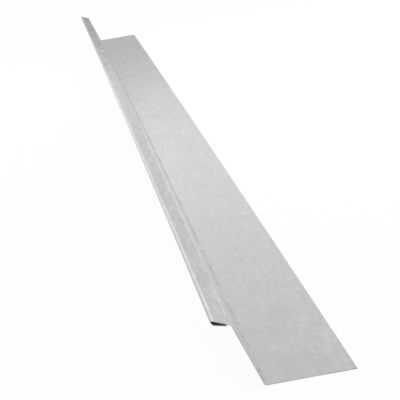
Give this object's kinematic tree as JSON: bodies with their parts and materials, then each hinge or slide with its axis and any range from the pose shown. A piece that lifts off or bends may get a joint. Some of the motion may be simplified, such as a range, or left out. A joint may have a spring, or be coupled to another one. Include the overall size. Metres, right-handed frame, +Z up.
{
  "type": "drip edge flashing",
  "caption": "Length of galvanised steel roof drip edge: a wide flat flange, a leaning face and an out-turned kick with an open rolled hem.",
  "frame": {"origin": "on the floor under the middle of the strip's bounding box", "axes": "+Y along the strip's length, +X from the crease towards the flange's free edge, +Z up from the flange as the strip lies on a floor"},
  "size_m": [0.1114, 3.048, 0.0605],
  "materials": {
    "galvanised_steel": "bare hot-dip galvanised sheet steel with minimised spangle, satin grey"
  },
  "bodies": {
    "root": {"drip_edge": "galvanised_steel"}
  },
  "joints": []
}
